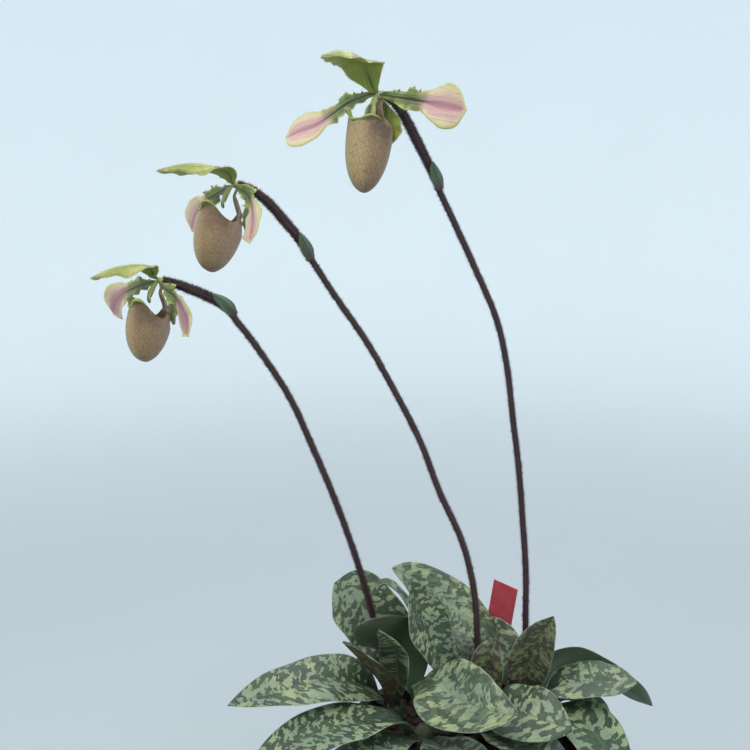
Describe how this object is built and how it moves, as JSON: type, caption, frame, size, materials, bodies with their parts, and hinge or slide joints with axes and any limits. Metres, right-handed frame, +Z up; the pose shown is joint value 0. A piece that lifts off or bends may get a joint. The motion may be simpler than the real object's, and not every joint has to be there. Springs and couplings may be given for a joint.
{
  "type": "potted slipper orchid",
  "caption": "Slipper orchid with mottled strap leaves and tall hairy stalks, each ending in a pouched flower, in a black nursery pot of bark.",
  "frame": {"origin": "middle of the pot's underside", "axes": "+Z up along the pot's axis, +X to the viewer's right and +Y away from the viewer as pictured"},
  "size_m": [0.3009, 0.1666, 0.459],
  "materials": {
    "leaf": "waxy satin",
    "stalk": "matt",
    "bract": "matt",
    "sepal": "matt",
    "petal": "matt",
    "pouch": "glossy satin",
    "column": "matt",
    "pot": "moulded satin",
    "bark": "rough",
    "label": "matt"
  },
  "bodies": {
    "root": {"bark_mix": "bark", "bract_lower": "bract", "bract_middle": "bract", "bract_upper": "bract", "column_lower": "column", "column_middle": "column", "column_upper": "column", "crown_front": "leaf", "crown_left": "leaf", "crown_middle": "leaf", "crown_right": "leaf", "dorsal_sepal_lower": "sepal", "dorsal_sepal_middle": "sepal", "dorsal_sepal_upper": "sepal", "label": "label", "leaf_back_far": "leaf", "leaf_back_left_round": "leaf", "leaf_back_low_left": "leaf", "leaf_back_low_middle": "leaf", "leaf_back_low_right": "leaf", "leaf_back_tall": "leaf", "leaf_centre_front": "leaf", "leaf_curled_tip": "leaf", "leaf_front_left_arched": "leaf", "leaf_front_left_low": "leaf", "leaf_front_low": "leaf", "leaf_front_shaded": "leaf", "leaf_hooded": "leaf", "leaf_left_long": "leaf", "leaf_left_pointed": "leaf", "leaf_right_arched": "leaf", "leaf_right_back_low": "leaf", "leaf_right_drooping": "leaf", "leaf_right_front": "leaf", "leaf_right_upper": "leaf", "leaf_striped_young": "leaf", "leaf_upright_middle": "leaf", "leaf_young_middle": "leaf", "leaf_young_right": "leaf", "ovary_lower": "stalk", "ovary_middle": "stalk", "ovary_upper": "stalk", "petal_left_lower": "petal", "petal_left_middle": "petal", "petal_left_upper": "petal", "petal_right_lower": "petal", "petal_right_middle": "petal", "petal_right_upper": "petal", "pot": "pot", "pouch_lower": "pouch", "pouch_middle": "pouch", "pouch_upper": "pouch", "scape_left": "stalk", "scape_middle": "stalk", "scape_right": "stalk", "synsepal_lower": "sepal", "synsepal_middle": "sepal", "synsepal_upper": "sepal"}
  },
  "joints": []
}
